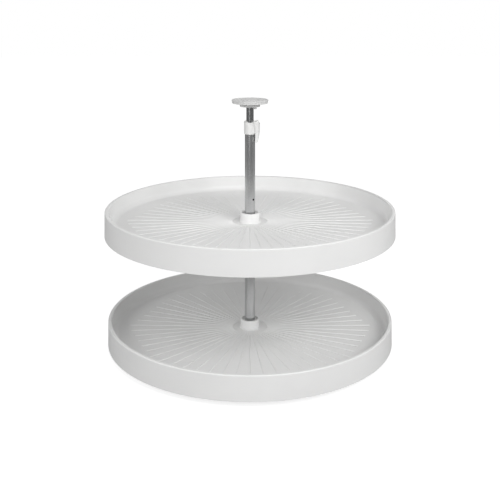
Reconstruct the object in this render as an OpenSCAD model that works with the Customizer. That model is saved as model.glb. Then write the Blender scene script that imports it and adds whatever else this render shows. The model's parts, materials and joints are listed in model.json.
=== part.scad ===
// Two-shelf rotating pantry carousel on a telescoping post.
// Millimetres, +Z up, front towards -Y. The origin is the middle of the base's underside,
// so z = 0 is the cabinet floor. The lock lever is on the +X side.

/* [Shelves] */
// Diameter over the top of a shelf's rim
rim_d = 809; // [700:1:900]
// Growth of the skirt's radius from the rim down to its foot
skirt_flare = 2.3; // [0:0.1:4]
// Height of a shelf from the foot of its skirt to the top of its rim
shelf_h = 68.2; // [62:0.1:90]
// Height of the shelf floor above the foot of the skirt
floor_rise = 24; // [22:0.5:30]
// Wall thickness of the shelf moulding
shell = 3; // [2:0.1:4]
// Width of the rim's crest
rim_w = 11; // [9:0.5:16]
// Radius of the crest's two rounded edges
rim_round = 3.2; // [2:0.1:4]
// Lean of the inner wall away from upright, in degrees
wall_lean = 8; // [2:0.5:12]
// Radius of the cove between floor and inner wall
cove_r = 15; // [8:0.5:20]
// Distance from the lower shelf's foot to the upper shelf's foot
shelf_pitch = 316.5; // [280:0.5:350]
// Height of the lower shelf's foot above the cabinet floor
floor_clear = 16; // [15:0.5:24]

/* [Shelf ribs] */
// Raised grip ribs on each shelf floor
rib_count = 55; // [30:1:72]
// Width of a grip rib
rib_w = 2.8; // [2.5:0.1:5]
// Height of a grip rib above the floor
rib_h = 1.2; // [0.6:0.1:1.8]
// Radius at which the grip ribs begin
rib_start_r = 50; // [48:1:120]
// Bare margin between the ribs' outer ends and the cove
rib_margin = 24; // [10:1:60]
// Radial webs under each shelf floor
web_count = 12; // [8:1:18]
// Thickness of the webs and of the rings under the floor
web_t = 2.5; // [2:0.1:3.5]
// Depth of the webs and rings below the underside of the floor
web_depth = 13; // [8:0.5:16]
// Stiffening rings under each shelf floor
ring_count = 3; // [1:1:5]

/* [Hubs] */
// Diameter of a hub above the shelf floor
hub_d = 55; // [54:0.5:70]
// Height of a hub above the shelf floor
hub_h = 26.3; // [24:0.1:40]
// Diameter of the open recess in a hub's top
hub_mouth_d = 46; // [45:0.5:48]
// Depth of that recess
hub_recess = 6.3; // [3:0.1:8]
// Thickness of the hub's inner shoulder, which hangs on the bearing
shoulder_t = 3.8; // [3:0.1:6]
// Width of the hub's seat flange beyond its barrel
hub_flange_w = 2.5; // [1.5:0.1:6]
// Thickness of the hub's seat flange
hub_flange_t = 3; // [2:0.1:5]
// Wall of the hub's spigot below the floor
spigot_wall = 3; // [2.5:0.1:4]
// Depth of the shelf's centre boss, top of floor to underside
boss_depth = 10; // [8:0.5:12]
// Height of the ring nut under the boss
nut_h = 7.5; // [5:0.5:9]
// Radial width of the ring nut
nut_w = 9; // [6:0.5:12]
// Grip notches round the ring nut
nut_notches = 8; // [4:1:12]

/* [Bearings] */
// Ball diameter
ball_d = 5; // [4:0.25:5]
// Balls in each bearing
ball_count = 12; // [8:1:16]
// Thickness of each race
race_t = 2; // [1.6:0.1:3]
// Depth of the ball groove in each race
groove_depth = 0.9; // [0.5:0.1:1.2]
// Thickness of the ball cage
cage_t = 1.8; // [1.2:0.1:2]
// Length of the support collar above its pin
collar_above_pin = 7.5; // [6:0.5:10]
// Length of the support collar below its pin
collar_below_pin = 12; // [8:0.5:13]
// Outside diameter of the support collar, on which the hub turns
journal_d = 43.4; // [42:0.1:44]
// Diameter of the support pin
pin_d = 6; // [4:0.5:8]
// Turn of the pins and their holes to the right of the front, in degrees
pin_turn = 42; // [0:1:90]

/* [Post] */
// Outside diameter of the outer tube
outer_tube_d = 28.6; // [27:0.1:29]
// Wall of the outer tube
outer_tube_wall = 1.5; // [1.2:0.1:1.8]
// Outside diameter of the inner tube
inner_tube_d = 20.4; // [19:0.1:21]
// Wall of the inner tube
inner_tube_wall = 1.5; // [1:0.1:2]
// Height of the outer tube's top end above the cabinet floor
post_top = 619; // [610:0.5:628]
// Height of the whole carousel, base to top flange, as set here
height = 702.3; // [690:0.1:770]
// How far the mast can still rise from there
mast_rise = 82; // [40:1:90]
// Spacing of the holes at which the upper shelf can be pinned
pin_hole_step = 63.5; // [50:0.5:70]
// Spare pin holes above the upper shelf's pin
spare_holes_above = 1; // [0:1:1]
// Spare pin holes below the upper shelf's pin
spare_holes_below = 2; // [0:1:3]

/* [Flanges] */
// Diameter of the base flange and of the top flange
flange_d = 101; // [95:1:130]
// Thickness of a flange's wide plate
plate_t = 3.4; // [3:0.1:5]
// Total thickness of the plate and the pad behind it
pad_t = 9.4; // [8:0.1:12]
// Set-back of the pad's edge from the plate's edge
pad_inset = 1; // [0.5:0.1:4]
// Diameter of the step between the pad and the tube
step_d = 56; // [52:0.5:60]
// Height of the step above the flange's mounting face
step_h = 18.8; // [14:0.1:19]
// Height of the set-screw seat above the mounting face
seat_h = 26; // [24.5:0.5:27]
// Pitch circle of the mounting screws
screw_pcd = 78; // [74:1:84]
// Mounting screw holes in each flange
screw_count = 4; // [3:1:6]
// Diameter of a mounting screw hole
screw_hole_d = 5; // [4:0.1:6]
// Inner diameter of the moulded relief in the mounting face
relief_in_d = 48; // [40:1:56]
// Outer diameter of that relief
relief_out_d = 90; // [88:1:93]
// Depth of that relief
relief_depth = 0.8; // [0.4:0.1:1.5]
// Diameter of the set screws
set_screw_d = 5; // [4:0.5:6]

/* [Lock] */
// Outside diameter of the lock collar
collar_d = 33.4; // [33:0.1:38]
// Height of the lock collar
collar_h = 35.6; // [34:0.1:42]
// Length of outer tube inside the lock collar
collar_grip = 11.8; // [8:0.1:14]
// Width of the sloping notch in the front of the collar's top
notch_w = 21.2; // [20:0.1:24]
// Slope of that notch, in degrees
notch_slope = 33; // [20:1:40]
// Distance in front of the post's axis at which the slope begins
notch_start = 4.6; // [3:0.1:8]
// Reach of the lever's outer face from the post's axis
lever_reach = 27.6; // [27:0.1:30]
// Width of the lever across its two arms
lever_w = 33; // [32:0.5:36]
// Thickness of each arm
arm_t = 3; // [2.5:0.1:3.5]
// Radius of the arms' rounded heads
head_r = 8; // [7.5:0.1:8.5]
// Rise of the heads above the collar's top
head_rise = 1; // [0:0.1:2]
// Length of the lever below the collar
lever_drop = 22.3; // [18:0.1:40]
// Length of the lever's bent end, from the start of the bend to the tip
lever_bend = 37; // [30:1:45]
// Radius of the tip
nose_r = 3.2; // [2.8:0.1:4]
// Distance of the lever pin from the post's axis
lever_pin_x = 18; // [17.8:0.1:18.6]
// Depth of the lever pin's axis below the collar's top
lever_pin_depth = 5.8; // [5.5:0.1:7]
// Diameter of the lever pin
lever_pin_d = 4; // [3:0.5:4]
// Radius of the collar's two ears round the lever pin
ear_r = 4.6; // [4:0.1:4.8]
// Width of the cam knuckle between the ears
knuckle_w = 16; // [12:0.5:17]
// Throw of the cam
cam_throw = 0.6; // [0.3:0.05:0.8]

/* [Hidden] */
// Clearances: seated pieces, sliding or turning fits, and bodies that pass each other
seat_gap = 0.02;
fit_gap = 0.05;
turn_gap = 0.3;
// Small overlap that joins the pieces of one moulding, and the reach of a cut past a face
join = 0.5;
past = 1;

rim_r = rim_d / 2;
foot_r = rim_r + skirt_flare;
outer_tube_r = outer_tube_d / 2;
outer_bore_r = outer_tube_r - outer_tube_wall;
inner_tube_r = inner_tube_d / 2;
inner_bore_r = inner_tube_r - inner_tube_wall;

// Heights of the two shelves' feet
lower_z = floor_clear;
upper_z = floor_clear + shelf_pitch;

// The basin: its wall starts under the crest's inner edge, and its cove touches floor and wall
crest_z = shelf_h - rim_round;
crest_in_r = rim_r - rim_w;
cove_z = floor_rise + cove_r;
cove_c_r = crest_in_r - (crest_z - cove_z) * tan(wall_lean) - cove_r / cos(wall_lean);
rib_end_r = cove_c_r - rib_margin;

// The hub and its bearing, as heights above the shelf's foot
journal_r = journal_d / 2;
hub_bore_r = journal_r + turn_gap;
hub_r = hub_d / 2;
hub_top_z = floor_rise + hub_h;
hub_floor_z = hub_top_z - hub_recess;
shoulder_z = hub_floor_z - shoulder_t;
ball_r = ball_d / 2;
race_gap = ball_d - 2 * groove_depth;
top_race_z = shoulder_z - race_t;
bottom_race_z = top_race_z - race_gap - race_t;
ball_z = top_race_z - race_gap / 2;
pin_z = bottom_race_z - collar_above_pin;
race_margin = 0.7;
race_in_r = outer_tube_r + race_margin;
race_out_r = hub_bore_r - race_margin;
ball_ring_r = (race_in_r + race_out_r) / 2;
spigot_r = hub_bore_r + spigot_wall;
shelf_hole_r = spigot_r + turn_gap;
boss_w = 12;
boss_r = shelf_hole_r + boss_w;
boss_z = floor_rise - boss_depth;
nut_z = boss_z - nut_h;
key_w = 6;
key_depth = 2;
key_set_back = 0.8;
key_reach = hub_r + hub_flange_w - key_set_back;
pin_set_back = 0.4;

// The lock: collar, guide bush, and the lever with its cam
collar_r = collar_d / 2;
collar_z = post_top - collar_grip;
collar_top_z = collar_z + collar_h;
collar_round = 1.5;
lip_t = 1.8;
lip_r = inner_tube_r + turn_gap;
bush_r = outer_bore_r - fit_gap * 2;
bush_lip_t = 3;
bush_below = 28;
lever_pin_z = collar_top_z - lever_pin_depth;
head_x = lever_reach - head_r;
head_z = collar_top_z + head_rise - head_r;
lever_tip_z = collar_z - lever_drop;
bend_z = lever_tip_z + lever_bend;
back_x = outer_tube_r + fit_gap * 10;
ear_w = lever_w - 2 * arm_t - 2 * turn_gap;
web_x = lever_pin_x + ear_r + turn_gap;
web_top_z = lever_pin_z + lever_pin_x - collar_r - turn_gap;
knuckle_r = lever_pin_x - bush_r - seat_gap - cam_throw;

// The mast: inner tube, guide plug and top flange; its plug stops under the bush
mast_foot_z = post_top - bush_below - turn_gap - mast_rise;
plug_head = 8;
plug_spigot = 14;
plug_wall = 2;

// The flanges: the base's round socket, the top's narrow seat, and how far set screws are sunk
socket_r = outer_tube_r + 5.2;
seat_reach = inner_tube_r + 8;
seat_w = 10;
set_screw_sink = 0.2;

wide_fn = 360;
round_fn = 96;
small_fn = 48;

// ---------------------------------------------------------------- shared shapes

// A plain ring from radius a to radius b, between heights z0 and z1
module ring(a, b, z0, z1, fn = round_fn) {
    translate([0, 0, z0]) difference() {
        cylinder(r = b, h = z1 - z0, $fn = fn);
        translate([0, 0, -past]) cylinder(r = a, h = z1 - z0 + 2 * past, $fn = fn);
    }
}

// A round bar along the direction that is turned from the front towards +X
module cross_bar(r, reach, z, turn = pin_turn) {
    translate([0, 0, z]) rotate([0, 0, turn]) rotate([90, 0, 0])
        cylinder(r = r, h = 2 * reach, center = true, $fn = small_fn);
}

// Copies round the Z axis, the first at the front
module around(count) {
    for (i = [0 : count - 1]) rotate([0, 0, -90 + i * 360 / count]) children();
}

// ---------------------------------------------------------------- shelf

// Everything above the floor and inside the wall, grown outwards by t
module basin_2d(t) {
    lean_r = crest_in_r + t / cos(wall_lean);
    touch = [cove_c_r + (cove_r + t) * cos(wall_lean), cove_z - (cove_r + t) * sin(wall_lean)];
    top_r = lean_r + (shelf_h + past - crest_z) * tan(wall_lean);
    polygon([[0, floor_rise - t], [cove_c_r, floor_rise - t], [cove_c_r, cove_z], touch,
        [top_r, shelf_h + past], [0, shelf_h + past]]);
    translate([cove_c_r, cove_z]) circle(r = cove_r + t, $fn = round_fn);
}

// The room inside the skirt and below the crest, shrunk inwards by t
module envelope_2d(t) {
    top = crest_z + rim_round - (t > 0 ? shell : rim_round);
    polygon([[0, -past * (t > 0 ? 1 : 0)], [foot_r - t, -past * (t > 0 ? 1 : 0)],
        [rim_r - t, top], [0, top]]);
}

// The crest: a flat strip with two rounded edges
module crest_2d() {
    for (r = [rim_r - rim_round, crest_in_r + rim_round])
        translate([r, crest_z]) circle(r = rim_round, $fn = small_fn);
    translate([crest_in_r + rim_round, shelf_h - shell]) square([rim_w - 2 * rim_round, shell]);
}

// The moulding in section: skirt, crest, inner wall, cove, floor, centre boss and rings
module shelf_2d() {
    ring_step = (cove_c_r - boss_r) / (ring_count + 1);
    difference() {
        union() {
            difference() {
                envelope_2d(0);
                envelope_2d(shell);
            }
            intersection() {
                basin_2d(shell);
                envelope_2d(0);
            }
            translate([0, boss_z]) square([boss_r, boss_depth - shell + join]);
            for (i = [1 : ring_count])
                translate([boss_r + i * ring_step - web_t / 2, floor_rise - shell - web_depth])
                    square([web_t, web_depth + join]);
        }
        basin_2d(0);
        translate([-past, -past]) square([shelf_hole_r + past, shelf_h]);
    }
    crest_2d();
}

// The hollow under the floor and inside the wall, where the webs stand
module hollow_2d() {
    difference() {
        envelope_2d(shell - join / 2);
        basin_2d(shell - join / 2);
        translate([-past, -2 * past]) square([foot_r + 2 * past, 2 * past + floor_rise - shell - web_depth]);
        translate([-past, -past]) square([boss_r - join + past, shelf_h]);
    }
}

module webs() {
    around(web_count) rotate([90, 0, 0]) linear_extrude(height = web_t, center = true) hollow_2d();
}

// One grip rib: a round bead that lies half sunk in the floor
module grip_rib() {
    bead_r = (rib_w * rib_w / 4 + rib_h * rib_h) / (2 * rib_h);
    translate([rib_start_r, 0, floor_rise + rib_h - bead_r]) rotate([0, 90, 0])
        cylinder(r = bead_r, h = rib_end_r - rib_start_r, $fn = small_fn);
}

module grip_ribs() {
    intersection() {
        around(rib_count) grip_rib();
        translate([0, 0, floor_rise - shell / 2]) cylinder(r = rib_end_r + past, h = shell + rib_h, $fn = 8);
    }
}

// The four keys that stop the hub turning in the shelf, grown by g
module hub_keys(g) {
    around(4) translate([0, -key_w / 2 - g, floor_rise - key_depth - g])
        cube([key_reach + g, key_w + 2 * g, key_depth + g + join]);
}

module tray(z) {
    color([0.93, 0.93, 0.92]) translate([0, 0, z]) difference() {
        union() {
            rotate_extrude($fn = wide_fn) shelf_2d();
            webs();
            grip_ribs();
        }
        hub_keys(turn_gap / 3);
    }
}

// ---------------------------------------------------------------- hub and bearing

// The hub in section: barrel, seat flange, spigot and the shoulder that hangs on the bearing
module hub_2d() {
    hub_round = 1.4;
    difference() {
        union() {
            translate([0, floor_rise]) square([hub_r, hub_h - hub_round]);
            translate([0, floor_rise]) square([hub_r - hub_round, hub_h]);
            translate([hub_r - hub_round, hub_top_z - hub_round]) circle(r = hub_round, $fn = small_fn);
            translate([0, floor_rise]) square([hub_r + hub_flange_w, hub_flange_t]);
            translate([0, nut_z]) square([spigot_r, floor_rise - nut_z + join]);
        }
        translate([-past, nut_z - past]) square([hub_bore_r + past, shoulder_z - nut_z + past]);
        translate([-past, 0]) square([outer_tube_r + turn_gap + past, shelf_h * 2]);
        translate([-past, hub_floor_z]) square([hub_mouth_d / 2 + past, hub_recess + past]);
    }
}

module hub(z) {
    color([0.97, 0.97, 0.96]) translate([0, 0, z]) {
        rotate_extrude($fn = round_fn) hub_2d();
        difference() {
            hub_keys(0);
            translate([0, 0, -past]) cylinder(r = spigot_r - join, h = shelf_h, $fn = round_fn);
        }
    }
}

module hub_nut(z) {
    nut_r = spigot_r + nut_w;
    notch_r = 3;
    color([0.9, 0.9, 0.89]) translate([0, 0, z]) difference() {
        ring(spigot_r + fit_gap, nut_r, nut_z, boss_z);
        around(nut_notches) translate([nut_r + notch_r / 3, 0, nut_z - past])
            cylinder(r = notch_r, h = nut_h + 2 * past, $fn = small_fn);
    }
}

// A race in section; its groove faces the balls
module race(z, z0, groove_z) {
    color([0.72, 0.73, 0.74]) translate([0, 0, z]) rotate_extrude($fn = round_fn) difference() {
        translate([race_in_r, z0]) square([race_out_r - race_in_r, race_t]);
        translate([ball_ring_r, groove_z]) circle(r = ball_r + fit_gap / 2, $fn = small_fn);
    }
}

module ball_cage(z) {
    color([0.85, 0.83, 0.76]) translate([0, 0, z]) difference() {
        ring(race_in_r, race_out_r, ball_z - cage_t / 2, ball_z + cage_t / 2);
        around(ball_count) translate([ball_ring_r, 0, ball_z])
            cylinder(r = ball_r + fit_gap, h = cage_t + 2 * past, center = true, $fn = small_fn);
    }
}

module bearing_balls(z) {
    color([0.8, 0.81, 0.82]) translate([0, 0, z + ball_z])
        around(ball_count) translate([ball_ring_r, 0, 0]) sphere(r = ball_r, $fn = small_fn);
}

// The collar that carries the bearing, pinned through the outer tube
module support_collar(z) {
    color([0.6, 0.61, 0.63]) translate([0, 0, z]) difference() {
        ring(outer_tube_r + fit_gap, journal_r, pin_z - collar_below_pin, pin_z + collar_above_pin);
        cross_bar(pin_d / 2 + fit_gap, journal_r + past, pin_z);
    }
}

module support_pin(z) {
    color([0.7, 0.71, 0.73]) translate([0, 0, z]) cross_bar(pin_d / 2, journal_r - pin_set_back, pin_z);
}

// ---------------------------------------------------------------- post

module outer_tube() {
    tube_foot_z = plate_t;
    upper_hole_zs = [for (i = [-spare_holes_below : spare_holes_above]) upper_z + pin_z + i * pin_hole_step];
    color([0.55, 0.56, 0.57]) difference() {
        ring(outer_bore_r, outer_tube_r, tube_foot_z, post_top);
        for (z = concat([lower_z + pin_z], upper_hole_zs))
            cross_bar(pin_d / 2 + fit_gap, outer_tube_r + past, z);
    }
}

// A flange in section, mounting face at z = 0 and tube side upwards
module flange_2d() {
    plate_r = flange_d / 2;
    pad_r = plate_r - pad_inset;
    edge = 0.8;
    polygon([[0, 0], [plate_r - edge, 0], [plate_r, edge], [plate_r, plate_t], [pad_r, plate_t + pad_inset],
        [pad_r, pad_t - edge], [pad_r - edge, pad_t], [step_d / 2 + edge, pad_t],
        [step_d / 2, pad_t + edge], [step_d / 2, step_h - edge], [step_d / 2 - edge, step_h], [0, step_h]]);
}

// Screw holes, countersinks and the relief in the mounting face
module flange_cuts(tube_r, floor_t) {
    translate([0, 0, floor_t]) cylinder(r = tube_r + fit_gap, h = seat_h + past, $fn = round_fn);
    around(screw_count) rotate([0, 0, 180 / screw_count]) translate([screw_pcd / 2, 0, 0]) {
        translate([0, 0, -past]) cylinder(d = screw_hole_d, h = pad_t + 2 * past, $fn = small_fn);
        translate([0, 0, pad_t - screw_hole_d / 2])
            cylinder(d1 = screw_hole_d, d2 = 4 * screw_hole_d, h = 1.5 * screw_hole_d, $fn = small_fn);
    }
    ring(relief_in_d / 2, relief_out_d / 2, -past, relief_depth);
}

// The set screw's hole or body, along +X from the tube outwards
module set_screw_bar(tube_r, reach, r) {
    translate([tube_r + seat_gap, 0, (step_h + seat_h) / 2]) rotate([0, 90, 0])
        cylinder(r = r, h = reach, $fn = small_fn);
}

module set_screw(tube_r, length) {
    hex_r = set_screw_d / 4;
    color([0.3, 0.3, 0.31]) difference() {
        set_screw_bar(tube_r, length, set_screw_d / 2);
        translate([tube_r + length - length / 3, 0, (step_h + seat_h) / 2]) rotate([0, 90, 0])
            cylinder(r = hex_r, h = length, $fn = 6);
    }
}

module base_flange() {
    color([0.9, 0.9, 0.9]) difference() {
        union() {
            rotate_extrude($fn = round_fn) flange_2d();
            cylinder(r = socket_r, h = seat_h, $fn = round_fn);
        }
        flange_cuts(outer_tube_r, plate_t);
        set_screw_bar(outer_tube_r - outer_tube_wall / 2, socket_r, set_screw_d / 2 + seat_gap);
    }
}

module base_set_screw() {
    set_screw(outer_tube_r, socket_r - outer_tube_r - set_screw_sink);
}

// ---------------------------------------------------------------- lock

// The space above the collar's sloping notch, lowered and widened by g
module notch_space(g) {
    far_y = -collar_r - past;
    far_z = collar_top_z - g + (far_y + notch_start) * tan(notch_slope);
    rotate([90, 0, 90]) linear_extrude(height = notch_w + 2 * g, center = true)
        polygon([[far_y, far_z], [-notch_start, collar_top_z - g], [-notch_start, collar_top_z + past],
            [far_y, collar_top_z + past]]);
}

// The bush that centres the mast; its rim sits on the tube's end, under the collar's lip
module guide_bush() {
    slit = 2;
    top_z = collar_top_z - lip_t - seat_gap;
    color([0.2, 0.2, 0.21]) difference() {
        union() {
            ring(inner_tube_r + fit_gap, bush_r, post_top - bush_below, top_z);
            ring(inner_tube_r + fit_gap, outer_tube_r - fit_gap, post_top + seat_gap, post_top + bush_lip_t);
        }
        notch_space(lip_t + seat_gap);
        translate([-outer_tube_r - past, -slit / 2, post_top - bush_below - past])
            cube([outer_tube_r + past, slit, collar_h + bush_below + 2 * past]);
    }
}

// A front-view outline in x and z made w wide across Y
module across(w) {
    rotate([90, 0, 0]) linear_extrude(height = w, center = true) children();
}

// A bar along Y on the lever pin's axis
module hinge_bar(r, w) {
    across(w) translate([lever_pin_x, lever_pin_z]) circle(r = r, $fn = small_fn);
}

// The ears' outline: round above the lever pin, straight below it
module ear_2d() {
    foot_z = collar_z + 2 * collar_round;
    reach_x = lever_pin_x + ear_r;
    translate([lever_pin_x, lever_pin_z]) circle(r = ear_r, $fn = small_fn);
    polygon([[0, foot_z], [lever_pin_x, foot_z], [reach_x, foot_z + ear_r], [reach_x, lever_pin_z],
        [lever_pin_x, lever_pin_z], [lever_pin_x, lever_pin_z + ear_r], [0, lever_pin_z + ear_r]]);
}

module lock_collar() {
    knuckle_gap_w = knuckle_w + 2 * turn_gap;
    pocket_r = knuckle_r + cam_throw + turn_gap;
    color([0.93, 0.93, 0.92]) difference() {
        union() {
            rotate_extrude($fn = round_fn) {
                translate([0, collar_z]) square([collar_r, collar_h - collar_round]);
                translate([0, collar_z]) square([collar_r - collar_round, collar_h]);
                translate([collar_r - collar_round, collar_top_z - collar_round])
                    circle(r = collar_round, $fn = small_fn);
            }
            across(ear_w) ear_2d();
        }
        notch_space(0);
        // the seats of the tube, of the bush's rim and of the bush; the lip stays above them
        translate([0, 0, collar_z - past]) cylinder(r = outer_tube_r + fit_gap,
            h = collar_grip + bush_lip_t + fit_gap + past, $fn = round_fn);
        difference() {
            translate([0, 0, collar_z]) cylinder(r = outer_bore_r, h = collar_h - lip_t, $fn = round_fn);
            notch_space(lip_t);
        }
        translate([0, 0, collar_z]) cylinder(r = lip_r, h = collar_h + past, $fn = round_fn);
        // the gap between the ears, and the pocket for the cam knuckle, open upwards
        translate([collar_r, -knuckle_gap_w / 2, collar_z - past])
            cube([lever_reach, knuckle_gap_w, collar_h + 2 * past]);
        across(knuckle_gap_w) {
            translate([lever_pin_x, lever_pin_z]) circle(r = pocket_r, $fn = round_fn);
            translate([lever_pin_x - pocket_r, lever_pin_z]) square([lever_reach, lever_pin_depth + past]);
        }
        hinge_bar(lever_pin_d / 2 + seat_gap, lever_w);
    }
}

module lever_pin() {
    color([0.93, 0.93, 0.92]) hinge_bar(lever_pin_d / 2, lever_w - fit_gap * 2);
}

// The lever's outline seen from the front, shrunk by t: round head, straight arm, bent end, nose
module lever_2d(t) {
    nose = [back_x + nose_r, lever_tip_z + nose_r];
    drop = bend_z - nose[1];
    reach = lever_reach - nose[0];
    // the bend runs into the nose without a corner
    bend_r = (reach * reach + drop * drop - nose_r * nose_r) / (2 * (reach - nose_r));
    bend = [lever_reach - bend_r, bend_z];
    translate([head_x, head_z]) circle(r = head_r - t, $fn = round_fn);
    translate([back_x + t, bend_z]) square([lever_reach - back_x - 2 * t, head_z - bend_z]);
    intersection() {
        translate(bend) circle(r = bend_r - t, $fn = wide_fn);
        polygon([[back_x + t, bend_z + join], [back_x + t, nose[1]], nose, nose + (nose - bend),
            [lever_reach + past, bend_z + join]]);
    }
    translate(nose) circle(r = nose_r - t, $fn = small_fn);
}

// The lever: two arms outside the ears, a web that joins them, and the cam knuckle in the middle
module cam_lever() {
    wall = 2.6;
    color([0.93, 0.93, 0.92]) difference() {
        intersection() {
            union() {
                difference() {
                    across(lever_w) lever_2d(0);
                    across(lever_w - 2 * arm_t) {
                        translate([0, web_top_z]) square([2 * lever_reach, collar_h]);
                        translate([0, bend_z]) square([web_x, collar_h]);
                        intersection() {
                            for (shift = [0, -arm_t - wall]) translate([shift, 0]) lever_2d(wall);
                            translate([0, lever_tip_z]) square([web_x, lever_bend + join]);
                        }
                    }
                }
                across(knuckle_w) {
                    translate([lever_pin_x - cam_throw, lever_pin_z]) circle(r = knuckle_r, $fn = round_fn);
                    translate([lever_pin_x, web_top_z - head_r]) square([ear_r + 2 * join, head_r]);
                }
            }
            translate([0, 0, lever_tip_z - past])
                cylinder(r = lever_reach, h = lever_bend + collar_h + 2 * past, $fn = round_fn);
        }
        hinge_bar(lever_pin_d / 2 + fit_gap, lever_w + 2 * past);
    }
}

// ---------------------------------------------------------------- mast

module inner_tube() {
    color([0.5, 0.51, 0.52]) ring(inner_bore_r, inner_tube_r, mast_foot_z, height - plate_t - seat_gap);
}

// The plug in the mast's foot, which slides in the outer tube
module guide_plug() {
    color([0.2, 0.2, 0.21]) difference() {
        union() {
            translate([0, 0, mast_foot_z - plug_head])
                cylinder(r = outer_bore_r - 2 * fit_gap, h = plug_head, $fn = round_fn);
            translate([0, 0, mast_foot_z - join])
                cylinder(r = inner_bore_r - fit_gap, h = plug_spigot + join, $fn = round_fn);
        }
        translate([0, 0, mast_foot_z - plug_head - past])
            cylinder(r = inner_bore_r - plug_wall, h = plug_head + plug_spigot + 2 * past, $fn = round_fn);
    }
}

// The top flange is built mounting face down and turned over, set screw still towards +X
module top_flange() {
    color([0.9, 0.9, 0.9]) translate([0, 0, height]) mirror([0, 0, 1]) difference() {
        union() {
            rotate_extrude($fn = round_fn) flange_2d();
            translate([0, -seat_w / 2, pad_t]) cube([seat_reach, seat_w, seat_h - pad_t]);
        }
        flange_cuts(inner_tube_r, plate_t);
        set_screw_bar(inner_tube_r - inner_tube_wall / 2, seat_reach, set_screw_d / 2 + seat_gap);
    }
}

module top_set_screw() {
    translate([0, 0, height]) mirror([0, 0, 1])
        set_screw(inner_tube_r, seat_reach - inner_tube_r - set_screw_sink);
}

// ---------------------------------------------------------------- the carousel

base_flange();
base_set_screw();
outer_tube();
support_collar(lower_z);  // lower_support_collar
support_pin(lower_z);  // lower_support_pin
race(lower_z, bottom_race_z, ball_z);  // lower_bottom_race
ball_cage(lower_z);  // lower_ball_cage
bearing_balls(lower_z);  // lower_bearing_balls
race(lower_z, top_race_z, ball_z);  // lower_top_race
hub(lower_z);  // lower_hub
hub_nut(lower_z);  // lower_hub_nut
tray(lower_z);  // lower_tray
support_collar(upper_z);  // upper_support_collar
support_pin(upper_z);  // upper_support_pin
race(upper_z, bottom_race_z, ball_z);  // upper_bottom_race
ball_cage(upper_z);  // upper_ball_cage
bearing_balls(upper_z);  // upper_bearing_balls
race(upper_z, top_race_z, ball_z);  // upper_top_race
hub(upper_z);  // upper_hub
hub_nut(upper_z);  // upper_hub_nut
tray(upper_z);  // upper_tray
lock_collar();
guide_bush();
cam_lever();
lever_pin();
inner_tube();
guide_plug();
top_flange();
top_set_screw();
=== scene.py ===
import json
import math

import bpy
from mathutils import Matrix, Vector


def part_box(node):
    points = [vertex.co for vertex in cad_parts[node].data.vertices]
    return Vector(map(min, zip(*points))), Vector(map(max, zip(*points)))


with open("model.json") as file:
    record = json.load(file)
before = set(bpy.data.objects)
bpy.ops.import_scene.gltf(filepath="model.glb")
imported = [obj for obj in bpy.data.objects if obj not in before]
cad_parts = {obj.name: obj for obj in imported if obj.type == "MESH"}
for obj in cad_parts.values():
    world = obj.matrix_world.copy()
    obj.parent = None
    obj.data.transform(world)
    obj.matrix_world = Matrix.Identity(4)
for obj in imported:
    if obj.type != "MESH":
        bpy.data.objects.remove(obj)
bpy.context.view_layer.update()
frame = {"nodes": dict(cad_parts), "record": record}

# ---------------------------------------------------------------- view of the photograph

# Distance in front of the post, height above the cabinet floor, downward tilt and lens, as fitted to
# the outlines of both shelves. The shift is small enough for the other views to hold the raised mast.
CAMERA_AWAY = 2.220
CAMERA_HEIGHT = 0.973
CAMERA_TILT = math.radians(10.86)
CAMERA_LENS = 58.40
CAMERA_SENSOR = 36.0
CAMERA_SHIFT = -0.19


def make_camera():
    """The photograph's view: a low camera in front of the post, its frame shifted down a little."""
    data = bpy.data.cameras.new("camera")
    data.lens = CAMERA_LENS
    data.sensor_width = CAMERA_SENSOR
    data.shift_y = CAMERA_SHIFT
    camera = bpy.data.objects.new("camera", data)
    camera.location = (0.0, -CAMERA_AWAY, CAMERA_HEIGHT)
    camera.rotation_euler = (math.pi / 2 - CAMERA_TILT, 0.0, 0.0)
    bpy.context.scene.collection.objects.link(camera)
    bpy.context.scene.camera = camera


# ---------------------------------------------------------------- node helpers

WHITE = (1.0, 1.0, 1.0, 1.0)
# Nearly all of a noise pattern's values lie between these two
NOISE_RANGE = (0.3, 0.7)
# Scales of a place along x, y and z: as it is, and flattened, which leaves its way from the post's axis
UNSCALED = (1.0, 1.0, 1.0)
ACROSS_POST = (1.0, 1.0, 0.0)


def new_material(name):
    """A node material with a Principled shader: (material, node tree, shader)."""
    material = bpy.data.materials.new(name)
    material.use_nodes = True
    return material, material.node_tree, material.node_tree.nodes["Principled BSDF"]


def place_vector(tree, scales=UNSCALED):
    """Place on the object in metres, so that a pattern keeps its real size, scaled per axis."""
    place = tree.nodes.new("ShaderNodeTexCoord")
    mapping = tree.nodes.new("ShaderNodeMapping")
    mapping.inputs["Scale"].default_value = scales
    tree.links.new(place.outputs["Object"], mapping.inputs["Vector"])
    return mapping.outputs["Vector"]


def vector_math(tree, operation, vector):
    """The outputs of an operation on one vector."""
    node = tree.nodes.new("ShaderNodeVectorMath")
    node.operation = operation
    tree.links.new(vector, node.inputs[0])
    return node.outputs


def noise(tree, vector, cells, detail, roughness=0.55):
    """A noise pattern's value, with that many cells per metre."""
    node = tree.nodes.new("ShaderNodeTexNoise")
    node.inputs["Scale"].default_value = cells
    node.inputs["Detail"].default_value = detail
    node.inputs["Roughness"].default_value = roughness
    tree.links.new(vector, node.inputs["Vector"])
    return node.outputs["Fac"]


def spread(tree, value, low, high, source=NOISE_RANGE):
    """The value moved from its source range to the range low to high, and held at its ends."""
    node = tree.nodes.new("ShaderNodeMapRange")
    node.inputs["From Min"].default_value = source[0]
    node.inputs["From Max"].default_value = source[1]
    node.inputs["To Min"].default_value = low
    node.inputs["To Max"].default_value = high
    tree.links.new(value, node.inputs["Value"])
    return node.outputs["Result"]


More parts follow.
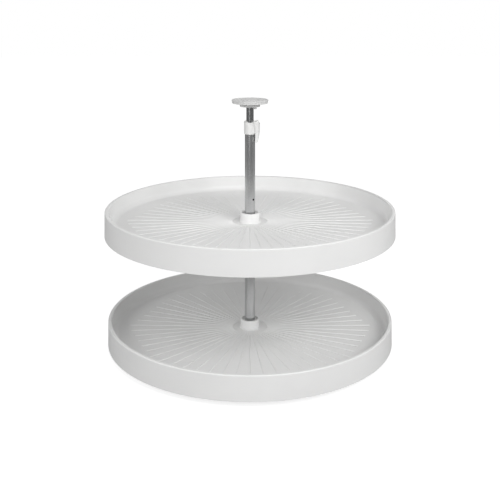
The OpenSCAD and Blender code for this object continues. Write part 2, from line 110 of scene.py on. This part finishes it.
def blend(tree, factor, low, high, data_type="FLOAT"):
    """Low to high with the factor: numbers, or colours with data_type RGBA, or sockets."""
    node = tree.nodes.new("ShaderNodeMix")
    node.data_type = data_type
    for end, value in (("A", low), ("B", high)):
        if isinstance(value, bpy.types.NodeSocket):
            tree.links.new(value, node.inputs[end])
        else:
            node.inputs[end].default_value = value
    tree.links.new(factor, node.inputs["Factor"])
    return node.outputs["Result"]


def mottled(tree, pattern, colour, shade):
    """The colour where the pattern is high, darkened to that share of it where the pattern is low."""
    dark = tuple(channel * shade for channel in colour)
    return blend(tree, spread(tree, pattern, 0.0, 1.0), (*dark, 1.0), (*colour, 1.0), "RGBA")


def bump(tree, height, depth, below=None):
    """A normal raised by the height, where a full step is depth metres, over the normal below."""
    node = tree.nodes.new("ShaderNodeBump")
    node.inputs["Strength"].default_value = 1.0
    node.inputs["Distance"].default_value = depth
    tree.links.new(height, node.inputs["Height"])
    if below is not None:
        tree.links.new(below, node.inputs["Normal"])
    return node.outputs["Normal"]


# ---------------------------------------------------------------- materials

# CELLS are noise cells per metre, SHADE is the share of the colour left in a pattern's dark parts,
# DEPTH is a bump's in metres, and SCALES under 1 draw a pattern out along that axis.

# Moulded plastic
CLOUD_CELLS = 9.0
CLOUD_SHADE = 0.965
WEAR_CELLS = 60.0
WEAR_ROUGHNESS = (0.34, 0.46)
SWELL_CELLS = 14.0
SWELL_DEPTH = 0.0004
SPARK_CELLS = 1400.0
SPARK_DEPTH = 0.00004
FINE_SPARK_DEPTH = 0.00001
PLASTIC_SPECULAR = 0.45

# Drawn tubes
DRAW_CELLS = 900.0
DRAW_SCALES = (1.0, 1.0, 0.02)
DRAW_SHADE = 0.86
DRAW_DEPTH = 0.000012
FILM_CELLS = 110.0
FILM_SCALES = (1.0, 1.0, 0.08)
FILM_ROUGHNESS = (0.22, 0.27)
# The bore's painted shade gives way to the skin's colour between these two distances inside the tube's
# outside
SKIN_MARGINS = (0.0008, 0.0004)

# Turned steel
RING_CELLS = 1600.0
RING_SCALES = (0.05, 0.05, 1.0)
RING_SHADE = 0.85
RING_DEPTH = 0.00001
TURNED_ROUGHNESS = (0.24, 0.36)
BALL_ROUGHNESS = (0.08, 0.14)
SCREW_ROUGHNESS = (0.35, 0.5)

WHITE_SHELF = (0.80, 0.80, 0.795)
WHITE_HUB = (0.86, 0.86, 0.855)
WHITE_FLANGE = (0.66, 0.66, 0.655)
WHITE_LOCK = (0.78, 0.78, 0.77)
OUTER_STEEL = (0.65, 0.655, 0.66)
INNER_STEEL = (0.41, 0.415, 0.42)
# Painted shade: a near-black colour that stands in for the shadow inside the tubes' bores and holes
BORE_PAINTED_SHADE = (0.03, 0.03, 0.031)
BEARING_STEEL = (0.55, 0.55, 0.56)
BALL_STEEL = (0.72, 0.72, 0.73)
CAGE_PLASTIC = (0.62, 0.58, 0.45)
GUIDE_PLASTIC = (0.03, 0.03, 0.032)
SCREW_BLACK = (0.035, 0.035, 0.037)


def moulded_plastic(name, colour, spark_depth=SPARK_DEPTH):
    """Injection-moulded plastic: fine spark texture, faint clouding and soft handling wear."""
    material, tree, shader = new_material(name)
    place = place_vector(tree)
    clouds = noise(tree, place, CLOUD_CELLS, detail=4.0)
    tree.links.new(mottled(tree, clouds, colour, CLOUD_SHADE), shader.inputs["Base Color"])
    wear = noise(tree, place, WEAR_CELLS, detail=6.0, roughness=0.7)
    tree.links.new(spread(tree, wear, *WEAR_ROUGHNESS), shader.inputs["Roughness"])
    swell = bump(tree, noise(tree, place, SWELL_CELLS, detail=2.0), SWELL_DEPTH)
    sparks = noise(tree, place, SPARK_CELLS, detail=2.0)
    tree.links.new(bump(tree, sparks, spark_depth, below=swell), shader.inputs["Normal"])
    shader.inputs["Specular IOR Level"].default_value = PLASTIC_SPECULAR
    return material


def drawn_steel(name, colour, radius):
    """Steel tube of that outside radius: long fine draw lines, satin skin, and near-black painted shade
    on every face inside the skin, such as the bore and the holes' walls.
    """
    material, tree, shader = new_material(name)
    lines = noise(tree, place_vector(tree, DRAW_SCALES), DRAW_CELLS, detail=4.0)
    from_axis = vector_math(tree, "LENGTH", place_vector(tree, ACROSS_POST))["Value"]
    in_skin = spread(tree, from_axis, 0.0, 1.0, [radius - margin for margin in SKIN_MARGINS])
    skin = mottled(tree, lines, colour, DRAW_SHADE)
    # Painted shade: faces inside the skin, the bore and the holes' walls, take the near-black colour
    skin_with_painted_bore_shade = blend(tree, in_skin, (*BORE_PAINTED_SHADE, 1.0), skin, "RGBA")
    tree.links.new(skin_with_painted_bore_shade, shader.inputs["Base Color"])
    film = noise(tree, place_vector(tree, FILM_SCALES), FILM_CELLS, detail=3.0)
    tree.links.new(spread(tree, film, *FILM_ROUGHNESS), shader.inputs["Roughness"])
    tree.links.new(bump(tree, lines, DRAW_DEPTH), shader.inputs["Normal"])
    shader.inputs["Metallic"].default_value = 1.0
    return material


def turned_steel(name, colour, roughness=TURNED_ROUGHNESS):
    """Machined steel: fine tool marks that run round the post."""
    material, tree, shader = new_material(name)
    rings = noise(tree, place_vector(tree, RING_SCALES), RING_CELLS, detail=3.0)
    tree.links.new(mottled(tree, rings, colour, RING_SHADE), shader.inputs["Base Color"])
    tree.links.new(spread(tree, rings, *roughness), shader.inputs["Roughness"])
    tree.links.new(bump(tree, rings, RING_DEPTH), shader.inputs["Normal"])
    shader.inputs["Metallic"].default_value = 1.0
    return material


# The tubes stand on the axis, so the highest x of a tube's box is its outside radius
SLOT_MATERIALS = {
    "shelf_plastic": moulded_plastic("shelf_plastic", WHITE_SHELF),
    "hub_plastic": moulded_plastic("hub_plastic", WHITE_HUB),
    "flange_plastic": moulded_plastic("flange_plastic", WHITE_FLANGE, FINE_SPARK_DEPTH),
    "lock_plastic": moulded_plastic("lock_plastic", WHITE_LOCK),
    "outer_tube_steel": drawn_steel("outer_tube_steel", OUTER_STEEL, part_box("outer_tube")[1][0]),
    "inner_tube_steel": drawn_steel("inner_tube_steel", INNER_STEEL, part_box("inner_tube")[1][0]),
    "bearing_steel": turned_steel("bearing_steel", BEARING_STEEL),
    "ball_steel": turned_steel("ball_steel", BALL_STEEL, BALL_ROUGHNESS),
    "cage_plastic": moulded_plastic("cage_plastic", CAGE_PLASTIC),
    "guide_plastic": moulded_plastic("guide_plastic", GUIDE_PLASTIC),
    "screw_steel": turned_steel("screw_steel", SCREW_BLACK, SCREW_ROUGHNESS),
}


def dress_nodes():
    """Gives every carried-over solid the material of its slot."""
    slot_of = {part["node"]: part["material_slot"] for part in frame["record"]["subparts"]}
    for name, piece in frame["nodes"].items():
        piece.data.materials.clear()
        piece.data.materials.append(SLOT_MATERIALS[slot_of[name]])


# ---------------------------------------------------------------- studio

# The sweep under the object ends this far in front of the post, and this far beside and behind it
FLOOR_FRONT = 0.95
FLOOR_REACH = 12.0
# Its own tone, and the glow over it where it is seen as the background: together they show white
FLOOR_TONE = 0.40
FLOOR_GLOW = 0.82
FLOOR_ROUGHNESS = 0.9
# Level of the room's even light straight in front of the object and straight behind it
ROOM_LEVELS = (0.37, 0.57)
FRONT_TO_BACK = (-1.0, 1.0)
# Metal and gloss see white only where the backdrop hangs, behind the post, and the dim studio all
# round it: the backdrop fades in between these two shares of straight backwards
BACKDROP_AIM = (0.90, 0.98)
DIM_LEVEL = 0.20
# The soft boxes are squares that stand this far from the object's middle and face it
MIDDLE = Vector((0.0, 0.0, 0.35))
BOX_AWAY = 3.2
BOX_SIZE = 1.6
# Each soft box's name, degrees right of the front, degrees above level, and watts
SOFT_BOXES = [
    ("key_box", 35.0, 34.0, 48.5),
    ("fill_box", -15.0, 15.0, 18.0),
    ("right_box", 68.0, 24.0, 12.0),
    ("left_box", -62.0, 24.0, 22.0),
]


def share_back(tree, direction):
    """The direction's share straight backwards, from -1 to 1."""
    parts = tree.nodes.new("ShaderNodeSeparateXYZ")
    tree.links.new(direction, parts.inputs["Vector"])
    return parts.outputs["Y"]


def seen_white(tree, back):
    """Two sockets: 1 where the background shows white, and 1 for a ray off gloss or through glass.

    It shows white to the camera, and to such a ray as far as the backdrop hangs that way.
    """
    path = tree.nodes.new("ShaderNodeLightPath")
    mirrored = tree.nodes.new("ShaderNodeMath")
    mirrored.operation = "MAXIMUM"
    tree.links.new(path.outputs["Is Glossy Ray"], mirrored.inputs[0])
    tree.links.new(path.outputs["Is Transmission Ray"], mirrored.inputs[1])
    backdrop = spread(tree, back, 0.0, 1.0, BACKDROP_AIM)
    in_gloss = blend(tree, mirrored.outputs["Value"], 0.0, backdrop)
    white = blend(tree, path.outputs["Is Camera Ray"], in_gloss, 1.0)
    return white, mirrored.outputs["Value"]


def make_floor():
    """A pale sweep that looks white where nothing shades it."""
    left, right, front, back = -FLOOR_REACH, FLOOR_REACH, -FLOOR_FRONT, FLOOR_REACH
    outline = [(left, front, 0.0), (right, front, 0.0), (right, back, 0.0), (left, back, 0.0)]
    mesh = bpy.data.meshes.new("floor")
    mesh.from_pydata(outline, [], [(0, 1, 2, 3)])
    floor = bpy.data.objects.new("floor", mesh)
    bpy.context.scene.collection.objects.link(floor)
    material, tree, shader = new_material("floor")
    shader.inputs["Base Color"].default_value = (FLOOR_TONE, FLOOR_TONE, FLOOR_TONE, 1.0)
    shader.inputs["Roughness"].default_value = FLOOR_ROUGHNESS
    shader.inputs["Specular IOR Level"].default_value = 0.0
    shader.inputs["Emission Color"].default_value = WHITE
    direction = vector_math(tree, "NORMALIZE", place_vector(tree))["Vector"]
    white, _ = seen_white(tree, share_back(tree, direction))
    tree.links.new(blend(tree, white, 0.0, FLOOR_GLOW), shader.inputs["Emission Strength"])
    mesh.materials.append(material)


def make_world():
    """An even room for diffuse light, white to the camera, and to gloss only behind the post."""
    world = bpy.data.worlds.new("room")
    bpy.context.scene.world = world
    world.use_nodes = True
    tree = world.node_tree
    background = tree.nodes["Background"]
    background.inputs["Color"].default_value = WHITE
    direction = tree.nodes.new("ShaderNodeTexCoord").outputs["Generated"]
    back = share_back(tree, direction)
    white, mirrored = seen_white(tree, back)
    room = spread(tree, back, *ROOM_LEVELS, FRONT_TO_BACK)
    unlit = blend(tree, mirrored, room, DIM_LEVEL)
    tree.links.new(blend(tree, white, unlit, 1.0), background.inputs["Strength"])


def soft_box(name, turn, rise, watts):
    """A soft box turned that many degrees right of the front and raised that many above level."""
    side, lift = math.radians(turn), math.radians(rise)
    level = math.cos(lift)
    toward = Vector((math.sin(side) * level, -math.cos(side) * level, math.sin(lift)))
    data = bpy.data.lights.new(name, "AREA")
    data.shape = "SQUARE"
    data.size = BOX_SIZE
    data.energy = watts
    lamp = bpy.data.objects.new(name, data)
    lamp.location = MIDDLE + toward * BOX_AWAY
    lamp.rotation_euler = (-toward).to_track_quat("-Z", "Y").to_euler()
    bpy.context.scene.collection.objects.link(lamp)


make_camera()
dress_nodes()
make_floor()
make_world()
for box in SOFT_BOXES:
    soft_box(*box)
bpy.context.scene.view_settings.view_transform = "Standard"
